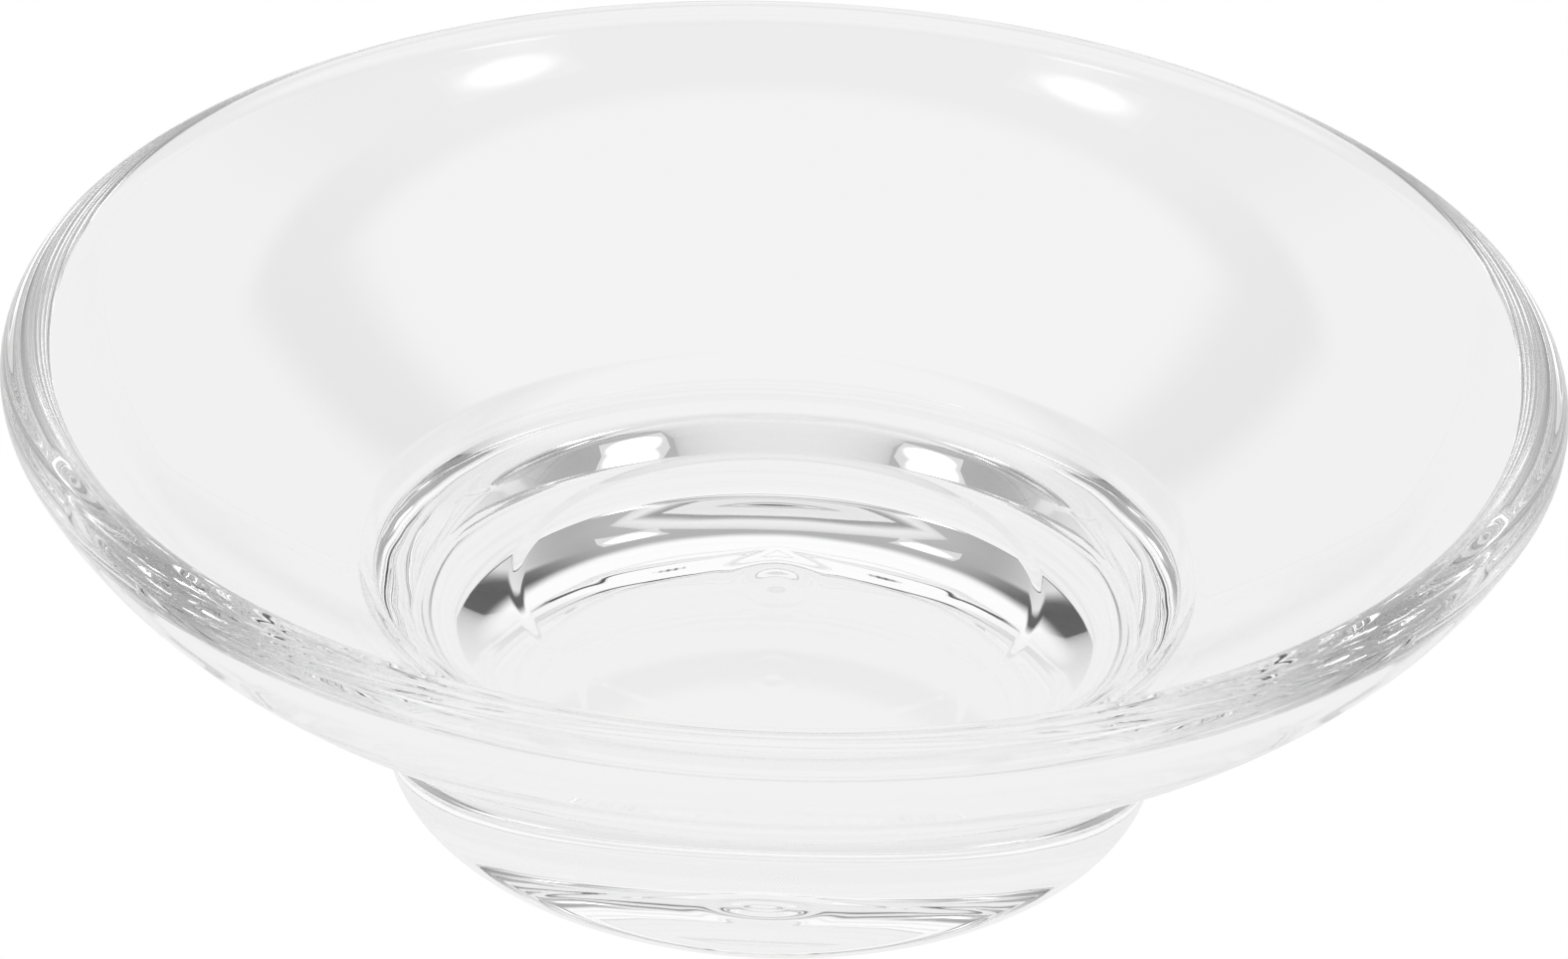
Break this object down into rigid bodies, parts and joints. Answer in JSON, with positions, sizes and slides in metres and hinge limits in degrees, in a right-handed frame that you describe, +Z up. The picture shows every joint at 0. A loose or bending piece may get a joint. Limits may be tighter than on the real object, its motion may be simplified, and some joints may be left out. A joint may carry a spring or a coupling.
{
  "type": "footed glass dish",
  "caption": "Round dish of clear pressed glass with a rounded rim, a flared bowl, a shallow well and a low foot that is hollow underneath.",
  "frame": {"origin": "centre of the face that the foot rests on", "axes": "+Z up along the axis of revolution; +X and +Y are any two level directions at right angles, because the dish is round"},
  "size_m": [0.11, 0.11, 0.0355],
  "materials": {
    "clear_glass": "gloss"
  },
  "bodies": {
    "root": {"rim": "clear_glass", "bowl": "clear_glass", "well": "clear_glass", "foot": "clear_glass"}
  },
  "joints": []
}
